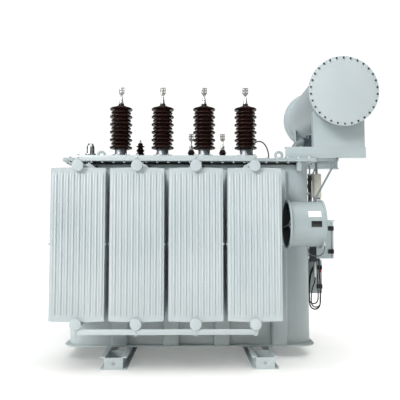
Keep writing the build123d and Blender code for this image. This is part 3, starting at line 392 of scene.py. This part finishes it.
floorShader.inputs["Roughness"].default_value = stageLook["floorRough"]
floor.data.materials.append(floorPaper)
world = bpy.data.worlds.new("studio")
world.use_nodes = True
world.node_tree.nodes["Background"].inputs["Color"].default_value = hexColour(stageLook["sky"])
world.node_tree.nodes["Background"].inputs["Strength"].default_value = stageLook["world"]
bpy.context.scene.world = world
bpy.context.scene.view_settings.view_transform = "Standard"
clearPick()
bpy.ops.mesh.primitive_uv_sphere_add(segments=48, ring_count=24, radius=stageLook["reach"],
                                     location=(0, 0, 0))
backdrop = bpy.context.object
backdrop.name = "backdrop"
backdropPaper, backdropShader = newMaterial("whiteBackdrop")
backdropShader.inputs["Base Color"].default_value = hexColour("000000")
backdropShader.inputs["Emission Color"].default_value = hexColour(stageLook["sky"])
backdropShader.inputs["Emission Strength"].default_value = stageLook["backdrop"]
backdrop.data.materials.append(backdropPaper)
backdrop.visible_diffuse = False
backdrop.visible_glossy = False
backdrop.visible_shadow = False

# suns, spread in degrees: two leave the floor out, two light only the floor, and one lights all
sunLook = {
    "keyLight": {"place": (-6.0, -6.4, 5.0), "spread": 24, "power": 2.6, "floor": "EXCLUDE", "shadow": True},
    "sideLight": {"place": (-8.0, -2.5, 1.6), "spread": 30, "power": 0.5, "floor": "EXCLUDE", "shadow": True},
    "floorLight": {"place": (0, -1, 8), "spread": 100, "power": 1.3, "floor": "INCLUDE", "shadow": True},
    "floorLift": {"place": (0, 0, 8), "spread": 10, "power": 0.55, "floor": "INCLUDE", "shadow": False},
    "topLight": {"place": (0.8, -1.5, 8.0), "spread": 70, "power": 1.65, "floor": None, "shadow": True},
}
for name, look in sunLook.items():
    bpy.ops.object.light_add(type="SUN", location=look["place"])
    sun = bpy.context.object
    sun.name = name
    sun.data.energy = look["power"]
    sun.data.angle = radians(look["spread"])
    sun.data.use_shadow = look["shadow"]
    sun.rotation_euler = Vector(look["place"]).to_track_quat("Z", "Y").to_euler()
    if look["floor"]:
        lit = bpy.data.collections.new(name + "Reach")
        lit.objects.link(floor)
        lit.collection_objects[0].light_linking.link_state = look["floor"]
        sun.light_linking.receiver_collection = lit
print("stage set")

# cables: finish, slot, diameter, length and route, in metres
cableLook = {
    "loop_cable_1": (blackSheath, "cable_black", 0.016, 1.160, [
        (1.458, -0.196, 0.9867), (1.458, -0.196, 0.9), (1.468, -0.196, 0.76), (1.47, -0.196, 0.59),
        (1.468, -0.196, 0.5), (1.45, -0.195, 0.458), (1.408, -0.194, 0.44), (1.366, -0.193, 0.458),
        (1.348, -0.192, 0.5), (1.346, -0.191, 0.59), (1.35, -0.19, 0.74), (1.368, -0.19, 0.85),
        (1.412, -0.19, 0.925), (1.412, -0.19, 0.9867)]),
    "loop_cable_2": (blackSheath, "cable_black", 0.014, 1.039, [
        (1.44, -0.166, 0.9867), (1.44, -0.166, 0.9), (1.45, -0.166, 0.78), (1.453, -0.166, 0.63),
        (1.452, -0.166, 0.55), (1.437, -0.166, 0.513), (1.4, -0.165, 0.498), (1.363, -0.165, 0.513),
        (1.348, -0.164, 0.55), (1.347, -0.164, 0.63), (1.352, -0.163, 0.77), (1.372, -0.163, 0.87),
        (1.414, -0.163, 0.935), (1.414, -0.163, 0.9867)]),
    "loop_cable_3": (blackSheath, "cable_black", 0.014, 0.914, [
        (1.45, -0.225, 0.9867), (1.45, -0.225, 0.88), (1.462, -0.225, 0.75), (1.465, -0.225, 0.6),
        (1.464, -0.225, 0.52), (1.449, -0.225, 0.483), (1.412, -0.224, 0.468), (1.375, -0.223, 0.483),
        (1.36, -0.223, 0.52), (1.36, -0.222, 0.59), (1.374, -0.222, 0.69), (1.406, -0.222, 0.755),
        (1.406, -0.222, 0.8067)]),
    "fan_conduit": (greyConduit, "bare_metal", 0.011, 0.313, [
        (1.187, -0.845, 1.1487), (1.187, -0.845, 1.112), (1.2106, -0.8748, 1.084), (1.2504, -0.9249, 1.074),
        (1.2902, -0.975, 1.09), (1.314, -1.005, 1.134), (1.314, -1.005, 1.1817)]),
    "cover_lead": (blackSheath, "cable_black", 0.014, 0.509, [
        (0.69, -0.338, 2.1203), (0.69, -0.338, 2.185), (0.694, -0.337, 2.255), (0.716, -0.334, 2.308),
        (0.764, -0.33, 2.334), (0.816, -0.326, 2.318), (0.852, -0.322, 2.272), (0.874, -0.32, 2.212),
        (0.88, -0.32, 2.162), (0.88, -0.32, 2.1203)]),
}
for node, (material, slotName, diameter, length, route) in cableLook.items():
    line = bpy.data.curves.new(node + "_line", "CURVE")
    line.dimensions = "3D"
    line.bevel_depth = diameter / 2
    line.bevel_resolution = 4
    line.resolution_u = 10
    line.use_fill_caps = True
    spline = line.splines.new("NURBS")
    spline.points.add(len(route) - 1)
    for point, place in zip(spline.points, route):
        point.co = (*place, 1)
    spline.order_u = 3
    spline.use_endpoint_u = True
    cable = bpy.data.objects.new(node + "_line", line)
    bpy.context.collection.objects.link(cable)
    line.materials.append(material)
    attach(cable, "transformer")
    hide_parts(node)
print("cables laid")

# radiator banks: ten pressed panels with nine flutes on two header pipes, modelled once
bankLook = {"firstX": -1070, "pitch": 564, "count": 4, "reach": 1130, "panels": 10, "front": 1089, "step": 45,
            "width": 520, "half": 734, "middle": 1202, "arch": 8, "flutes": 9, "flutePitch": 55,
            "fluteDepth": 9, "crests": ((0, 0), (4, 0.05), (10, 1), (19, 0.9), (27.5, 0.4), (36, 0.9),
                                        (45, 1), (51, 0.05)),
            "drops": (81, 57, 31, 5, 0), "seam": 1.0, "pad": 1.5, "shift": 1.5, "headerHigh": 1952,
            "headerLow": 452, "header": 42, "facets": 32, "pipeEnd": 6, "disc": 55, "discThick": 12,
            "discEdge": 4, "discFacets": 40, "stub": 625, "flange": 80, "flangeThick": 16, "flangeEdge": 2,
            "tab": (14, 5, 14), "tabOut": 6, "tabEdge": 1, "eye": (60, 8, 72), "eyeBack": 24, "eyeRise": 76,
            "eyeTaper": 0.45, "eyeEdge": 2}


def flutedPanel():
    # half of a panel: a sheet of columns, raised row by row, then mirrored about its weld seam
    look = bankLook
    clearPick()
    crests = look["crests"]
    columns = look["flutes"] * len(crests)
    upper = [look["half"] - drop for drop in look["drops"]]
    rows = [-row for row in reversed(upper)] + [0] + upper
    bpy.ops.mesh.primitive_grid_add(x_subdivisions=columns + 2, y_subdivisions=len(rows) - 1, size=1,
                                    location=(0, 0, 0))
    sheet = bpy.context.object
    halfWidth = look["width"] / 2
    fluteStart = -look["flutes"] * look["flutePitch"] / 2
    side = columns + 3
    for count, vertex in enumerate(sheet.data.vertices):
        column = count % side
        height = rows[count // side]
        rise = 0
        if column == 0:
            x = -halfWidth
        elif column == side - 1:
            x = halfWidth
        else:
            flute, crest = divmod(column - 1, len(crests))
            x = fluteStart + flute * look["flutePitch"] + crests[crest][0]
            if abs(height) <= upper[0]:
                rise = look["fluteDepth"] * crests[crest][1]
        if abs(height) < upper[3]:
            rise += look["pad"]
        z = height
        if abs(height) > upper[1]:
            z -= look["arch"] * (x / halfWidth) ** 2 * (1 if height > 0 else -1)
        vertex.co = (mm(x), mm(-look["seam"] - rise), mm(z))
    only(sheet)
    halves = sheet.modifiers.new("back", "MIRROR")
    halves.use_axis = (False, True, False)
    halves.use_mirror_merge = False
    bpy.ops.object.modifier_apply(modifier="back")
    bpy.ops.object.mode_set(mode="EDIT")
    bpy.ops.mesh.select_all(action="DESELECT")
    bpy.ops.mesh.select_non_manifold(extend=False)
    bpy.ops.mesh.bridge_edge_loops()
    bpy.ops.mesh.select_all(action="SELECT")
    bpy.ops.mesh.normals_make_consistent(inside=False)
    bpy.ops.object.mode_set(mode="OBJECT")
    smooth(sheet, edgeLook["round"])
    return sheet


def roundBar(radius, low, high, vertices, bevel):
    # a turned bar along Y between two reaches, with broken edges
    clearPick()
    bpy.ops.mesh.primitive_cylinder_add(vertices=vertices, radius=mm(radius), depth=mm(high - low),
                                        location=(0, mm(-(low + high) / 2), 0), rotation=(pi / 2, 0, 0))
    bar = bpy.context.object
    bpy.ops.object.transform_apply(location=True, rotation=True, scale=True)
    if bevel:
        applyBevel(bar, bevel, 3)
    smooth(bar)
    return bar


def block(size, centre, tilt=0):
    # a plain block in millimetres, tilted about X
    clearPick()
    bpy.ops.mesh.primitive_cube_add(size=1, location=[mm(part) for part in centre],
                                    rotation=(radians(tilt), 0, 0))
    piece = bpy.context.object
    piece.scale = [mm(part) for part in size]
    bpy.ops.object.transform_apply(location=True, rotation=True, scale=True)
    return piece


def radiatorBank():
    # panels, a tab at each side and two headers with disc, flange and lifting eye
    look = bankLook
    depths = [-(look["front"] - count * look["step"]) + look["shift"] for count in range(look["panels"])]
    parts = [placedCopies(flutedPanel(), [(0, mm(depth), mm(look["middle"])) for depth in depths])]
    for side in (-1, 1):
        tabX = side * (look["width"] / 2 + look["tabOut"])
        tab = block(look["tab"], (tabX, -look["front"], look["middle"]))
        applyBevel(tab, look["tabEdge"])
        parts.append(tab)
    for height, turn in ((look["headerHigh"], 1), (look["headerLow"], -1)):
        near, far = look["stub"], look["reach"]
        pipe = roundBar(look["header"], near, far - look["pipeEnd"], look["facets"], 0)
        disc = roundBar(look["disc"], far - look["discThick"], far, look["discFacets"], look["discEdge"])
        flange = roundBar(look["flange"], near, near + look["flangeThick"], look["facets"],
                          look["flangeEdge"])
        eye = block(look["eye"], (0, -(far - look["eyeBack"]), turn * look["eyeRise"]))
        for vertex in eye.data.vertices:
            if vertex.co.z * turn > mm(look["eyeRise"]):
                vertex.co.x *= look["eyeTaper"]
        applyBevel(eye, look["eyeEdge"])
        ring = joined([pipe, disc, flange, eye])
        ring.data.transform(Matrix.Translation((0, 0, mm(height))))
        parts.append(ring)
    return joined(parts)


bank = radiatorBank()
for side, turn in (("front", 0), ("rear", pi)):
    for count in range(bankLook["count"]):
        twin = copyOf(bank)
        x = mm(bankLook["firstX"] + count * bankLook["pitch"])
        twin.data.transform(Matrix.Translation((x, 0, 0)) @ Matrix.Rotation(turn, 4, "Z"))
        name = side + "_radiator_" + str(count + 1)
        settle(twin, name + "_bank", panelEnamel)
        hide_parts(name)
bpy.data.objects.remove(bank)
print("radiators made")

# large bushings: porcelain with six wide and five narrow sheds between them
bushingLook = {"firstX": -795, "pitch": 476, "count": 4, "y": -200, "foot": 2254, "trunk": 82, "wide": 128,
               "narrow": 113, "sheds": 11, "shedStep": 44.5, "firstRim": 14, "facets": 48,
               "shed": ((-14, -4), (-5, -3.5), (-1, 0), (0, 5.5), (-1.5, 11), (-7, 15)),
               "root": ((0, -8), (7, -3)), "neck": ((12, 25), (3, 28), (0, 31)),
               "cap": ((95, 2731), (72, 2745), (50, 2756), (38, 2758), (0, 2758))}
trunk = bushingLook["trunk"]
outline = [(0, bushingLook["foot"]), (trunk, bushingLook["foot"])]
for count in range(bushingLook["sheds"]):
    rim = bushingLook["foot"] + bushingLook["firstRim"] + count * bushingLook["shedStep"]
    reach = bushingLook["wide"] if count % 2 == 0 else bushingLook["narrow"]
    outline += [(trunk + out, rim + up) for out, up in bushingLook["root"]]
    outline += [(reach + out, rim + up) for out, up in bushingLook["shed"]]
    if count < bushingLook["sheds"] - 1:
        outline += [(trunk + out, rim + up) for out, up in bushingLook["neck"]]
outline += bushingLook["cap"]
shedStack = turnedPiece("shedStack", outline, bushingLook["facets"])
smooth(shedStack, edgeLook["turned"])
offsets = [(mm(bushingLook["firstX"] + count * bushingLook["pitch"]), mm(bushingLook["y"]), 0)
           for count in range(bushingLook["count"])]
hvPorcelain = placedCopies(shedStack, offsets)
settle(hvPorcelain, "hvPorcelain", brownGlaze)
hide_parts("hv_porcelains")

# three sheds and the top of the small neutral bushing
neutralLook = {"x": -605, "y": 100, "bore": 8, "core": 30, "reach": 52, "sheds": (2252, 2295, 2339),
               "foot": 2236, "shoulder": 2366, "top": 2380, "topRadius": 22, "low": 8, "high": 9,
               "rim": ((-3, -4), (0, 0), (-5, 4)), "facets": 32}
bore, core = neutralLook["bore"], neutralLook["core"]
neutralLine = [(bore, neutralLook["foot"]), (core, neutralLook["foot"])]
for height in neutralLook["sheds"]:
    neutralLine.append((core, height - neutralLook["low"]))
    neutralLine += [(neutralLook["reach"] + out, height + up) for out, up in neutralLook["rim"]]
    neutralLine.append((core, height + neutralLook["high"]))
neutralLine += [(core, neutralLook["shoulder"]), (neutralLook["topRadius"], neutralLook["top"]),
                (bore, neutralLook["top"]), (bore, neutralLook["foot"])]
topShed = turnedPiece("neutralShed", neutralLine, neutralLook["facets"])
smooth(topShed, edgeLook["turned"])
topShed = placedCopies(topShed, [(mm(neutralLook["x"]), mm(neutralLook["y"]), 0)])
settle(topShed, "neutralShed", brownGlaze)

# every other node keeps its shape, with broken edges and its own finish
nodeFinish = {
    "left_skid": (greyEnamel, "body_paint", 1.5),
    "right_skid": (greyEnamel, "body_paint", 1.5),
    "tank_floor": (greyEnamel, "body_paint", 2.0),
    "tank_front_wall": (greyEnamel, "body_paint", 0),
    "tank_rear_wall": (greyEnamel, "body_paint", 0),
    "tank_left_end": (greyEnamel, "body_paint", 0),
    "tank_right_end": (greyEnamel, "body_paint", 0),
    "wall_stiffeners": (greyEnamel, "body_paint", 4),
    "tank_rim": (greyEnamel, "body_paint", 1.5),
    "tank_cover": (greyEnamel, "body_paint", 2.0),
    "radiator_valves": (greyEnamel, "body_paint", 2.0),
    "radiator_tie_bars": (panelEnamel, "body_paint", 1.5),
    "hv_bushing_bases": (castAlloy, "bare_metal", 3.0),
    "hv_collars": (blackNylon, "black_fitting", 3.0),
    "hv_terminals": (tinnedCopper, "bare_metal", 1.0),
    "lv_bushing_feet": (brightSteel, "bare_metal", 2.0),
    "lv_porcelains": (brownGlaze, "porcelain", 1.6),
    "lv_terminals": (tinnedCopper, "bare_metal", 1.0),
    "lifting_lugs": (greyEnamel, "body_paint", 3.0),
    "pressure_relief_valve": (brightSteel, "bare_metal", 2.0),
    "conservator_beams": (greyEnamel, "body_paint", 2.0),
    "conservator_saddles": (greyEnamel, "body_paint", 1.5),
    "conservator_shell": (greyEnamel, "body_paint", 1.5),
    "conservator_front_cap": (panelEnamel, "body_paint", 2.0),
    "conservator_rear_cap": (panelEnamel, "body_paint", 2.0),
    # braces and oil pipes in the darkened grey, painted shade
    "conservator_braces": (shadeEnamel, "body_paint", 1.0),
    "oil_pipes": (shadeEnamel, "body_paint", 1.0),
    # the gas relay in the dark enamel, painted shade
    "gas_relay": (darkEnamel, "body_paint", 2.0),
    "main_breather": (creamEnamel, "cream_glass", 4.0),
    "breather_cup": (brightSteel, "bare_metal", 2.0),
    "glass_breather": (smokedGlass, "dark_glass", 2.0),
    "glass_breather_caps": (zincPlate, "bare_metal", 2.0),
    "fan_brackets": (greyEnamel, "body_paint", 1.5),
    "control_cabinet": (greyEnamel, "body_paint", 0.8),
    "cabinet_hinges": (blackNylon, "black_fitting", 1.0),
    "drive_box": (greyEnamel, "body_paint", 0.8),
    "drive_hinges": (blackNylon, "black_fitting", 1.0),
    "wall_brackets": (greyEnamel, "body_paint", 2.0),
}
for node, (material, slotName, bevel) in nodeFinish.items():
    dressed(node, material, bevel)
movingFinish = {
    "cabinet_door": (greyEnamel, "body_paint", 2.0, "cabinet_door"),
    "cabinet_door_hinges": (blackNylon, "black_fitting", 1.0, "cabinet_door"),
    "drive_door": (greyEnamel, "body_paint", 2.0, "drive_door"),
    "drive_door_hinges": (blackNylon, "black_fitting", 1.0, "drive_door"),
    "fan_rotor": (darkEnamel, "body_paint", 1.0, "fan_rotor"),
}
for node, (material, slotName, bevel, body) in movingFinish.items():
    dressed(node, material, bevel, body)
print("nodes dressed")

# bolts of the cover, the conservator's caps, the tie bars and the bushing flanges; heads as (size, height)
boltLook = {"edge": 1.2, "rimStep": 116, "rimX": 1330, "rimY": 593, "alongRim": 11, "acrossRim": 4,
            "coverTop": 2100, "coverHead": (30, 12), "rimLow": 2064, "rimHead": (30, 16), "capBolts": 30,
            "capRadius": 353, "capX": 1616, "capZ": 2798, "capFace": 729, "capHead": (21, 10),
            "tieFace": 1117.7, "tieHeights": (2030, 374), "tieHead": (18, 8), "flangeBolts": 8,
            "flangeRadius": 96, "flangeTop": 2184, "flangeHead": (22, 12)}


def hexHead(size, height, lying):
    # a bolt head across its corners, standing or lying along Y
    clearPick()
    bpy.ops.mesh.primitive_cylinder_add(vertices=6, radius=mm(size / 2), depth=mm(height),
                                        rotation=(pi / 2, 0, 0) if lying else (0, 0, 0))
    head = bpy.context.object
    bpy.ops.object.transform_apply(location=True, rotation=True, scale=True)
    applyBevel(head, boltLook["edge"])
    smooth(head, edgeLook["round"])
    return head


def boltSet(name, places, head, lying, material):
    bolts = placedCopies(hexHead(*head, lying), [tuple(mm(part) for part in place) for place in places])
    return settle(bolts, name, material)


def around(count, start, radius):
    # places on a circle, as offsets
    turns = [2 * pi * (step + start) / count for step in range(count)]
    return [(radius * cos(turn), radius * sin(turn)) for turn in turns]


def half(head):
    # half of a head's height
    return head[1] / 2


rim = []
for count in range(-boltLook["alongRim"], boltLook["alongRim"] + 1):
    rim += [(count * boltLook["rimStep"], side * boltLook["rimY"]) for side in (-1, 1)]
for count in range(-boltLook["acrossRim"], boltLook["acrossRim"] + 1):
    rim += [(side * boltLook["rimX"], count * boltLook["rimStep"]) for side in (-1, 1)]
boltSet("coverBolts", [(x, y, boltLook["coverTop"] + half(boltLook["coverHead"])) for x, y in rim],
        boltLook["coverHead"], False, zincPlate)
boltSet("rimNuts", [(x, y, boltLook["rimLow"] - half(boltLook["rimHead"])) for x, y in rim],
        boltLook["rimHead"], False, zincPlate)
for side, name in ((-1, "frontCapBolts"), (1, "rearCapBolts")):
    y = side * (boltLook["capFace"] + half(boltLook["capHead"]))
    boltSet(name, [(boltLook["capX"] + x, y, boltLook["capZ"] + z)
                   for x, z in around(boltLook["capBolts"], 0.5, boltLook["capRadius"])],
            boltLook["capHead"], True, darkBolt)
headers = [bankLook["firstX"] + count * bankLook["pitch"] for count in range(bankLook["count"])]
tieY = boltLook["tieFace"] + half(boltLook["tieHead"])
boltSet("tieBarBolts",
        [(x, side * tieY, z) for x in headers for side in (-1, 1) for z in boltLook["tieHeights"]],
        boltLook["tieHead"], True, zincPlate)
bushings = [bushingLook["firstX"] + count * bushingLook["pitch"] for count in range(bushingLook["count"])]
flangeZ = boltLook["flangeTop"] + half(boltLook["flangeHead"])
boltSet("bushingBolts", [(centre + x, bushingLook["y"] + y, flangeZ) for centre in bushings
                         for x, y in around(boltLook["flangeBolts"], 0, boltLook["flangeRadius"])],
        boltLook["flangeHead"], False, zincPlate)
print("bolts set")

# plates on the fan, tag on the drive box, black strips of painted shade and a gusset under the rim, sleeve
# for the cables:
# centre, size, tilt about X in degrees, edge, finish, slot and body
plateLook = {
    "fanPlate": ((1211, -1050.5, 1489), (125, 3, 62), -25, 0.8, whitePlate, "bare_metal", "transformer"),
    "fanDataPlate": ((1222, -1070.5, 1393), (102, 3, 58), 0, 0.8, blackPlate, "black_fitting", "transformer"),
    "drainTag": ((1498, -106, 866), (18, 8, 36), 0, 1, redEnamel, "body_paint", "drive_door"),
    # the two black strips under the rim are painted shade, the shadow beneath its overhang
    "frontPaintedShadeStrip": ((0, -527, 2051), (2300, 5, 24), 0, 0.5, blackRubberAndPaintedShade, "black_fitting", "transformer"),
    "rearPaintedShadeStrip": ((0, 527, 2051), (2300, 5, 24), 0, 0.5, blackRubberAndPaintedShade, "black_fitting", "transformer"),
    "cableSleeve": ((1357, -332, 1067), (78, 26, 165), 0, 10, blackRubberAndPaintedShade, "cable_black", "transformer"),
    "rimGusset": ((1163, -562, 2012), (46, 74, 104), 0, 2, greyEnamel, "body_paint", "transformer"),
}
for name, (centre, size, tilt, edge, material, slotName, body) in plateLook.items():
    plate = block(size, centre, tilt)
    applyBevel(plate, edge)
    smooth(plate)
    settle(plate, name, material, body)


def tint(piece, material, test):
    # a second finish on the faces whose corners all pass the test
    piece.data.materials.append(material)
    for face in piece.data.polygons:
        if all(test(piece.data.vertices[corner].co) for corner in face.vertices):
            face.material_index = 1


def fromAxis(at, along, axis):
    # distance from a line along X or Z
    flat = (at.y, at.z) if along == "x" else (at.x, at.y)
    return (Vector(flat) - Vector(axis)).length


# zinc glands and plug among the black ones, and the fan's inside painted dark as painted shade, with light
# struts; in metres
glandLook = {"socketsBefore": -0.8, "plugTop": 0.988, "plugAxis": (1.406, -0.222), "plugRadius": 0.021}
fanLook = {"axis": (-0.845, 1.394), "inside": 0.2222, "motor": 0.074}


def onSocketOrPlug(at):
    nearPlug = fromAxis(at, "z", glandLook["plugAxis"]) < glandLook["plugRadius"]
    return at.y < glandLook["socketsBefore"] or (at.z < glandLook["plugTop"] and nearPlug)


glands = dressed("cable_glands", blackNylon, 1.0)
tint(glands, zincPlate, onSocketOrPlug)
# the fan ring takes the darkened grey, painted shade
casing = dressed("fan_casing", fanPaintedShadeEnamel, 1.5)
# the faces inside the ring take the dark enamel: painted shade
tint(casing, darkEnamel, lambda at: fromAxis(at, "x", fanLook["axis"]) < fanLook["inside"])
motor = dressed("fan_motor", darkEnamel, 2.0)
tint(motor, greyEnamel, lambda at: fromAxis(at, "x", fanLook["axis"]) > fanLook["motor"])

# black knobs on the valve levers, beside the upper headers
leverLook = {"offsets": (76, 76, 76, -74), "z": 2009, "y": 590, "knob": 13, "rod": 6, "gap": 20,
             "rodMiddle": 0.6}
knobs = []
for x, offset in zip(headers, leverLook["offsets"]):
    for side in (-1, 1):
        y, z = mm(side * leverLook["y"]), mm(leverLook["z"])
        clearPick()
        bpy.ops.mesh.primitive_uv_sphere_add(segments=16, ring_count=10, radius=mm(leverLook["knob"]),
                                             location=(mm(x + offset), y, z))
        knobs.append(bpy.context.object)
        bpy.ops.mesh.primitive_cylinder_add(vertices=12, radius=mm(leverLook["rod"]),
                                            depth=mm(abs(offset) - leverLook["gap"]),
                                            location=(mm(x + offset * leverLook["rodMiddle"]), y, z),
                                            rotation=(0, pi / 2, 0))
        knobs.append(bpy.context.object)
levers = joined(knobs)
smooth(levers, edgeLook["round"])
settle(levers, "valveLevers", blackNylon)

# a light forked stay across the fan's mouth, from the far rim to the near one
stayLook = {"x": 984, "fork": (-905, 1389), "ends": ((-629, 1366), (-1058, 1438), (-1056, 1340)), "rod": 8}
stays = []
for y, z in stayLook["ends"]:
    start, end = Vector((0, *stayLook["fork"])), Vector((0, y, z))
    clearPick()
    bpy.ops.mesh.primitive_cylinder_add(vertices=12, radius=mm(stayLook["rod"]),
                                        depth=mm((end - start).length))
    rod = bpy.context.object
    rod.data.transform((end - start).to_track_quat("Z", "Y").to_matrix().to_4x4())
    middle = (start + end) / 2
    rod.data.transform(Matrix.Translation((mm(stayLook["x"]), mm(middle.y), mm(middle.z))))
    stays.append(rod)
fanStay = joined(stays)
smooth(fanStay, edgeLook["round"])
settle(fanStay, "fanStay", panelEnamel)
print("small fittings set")
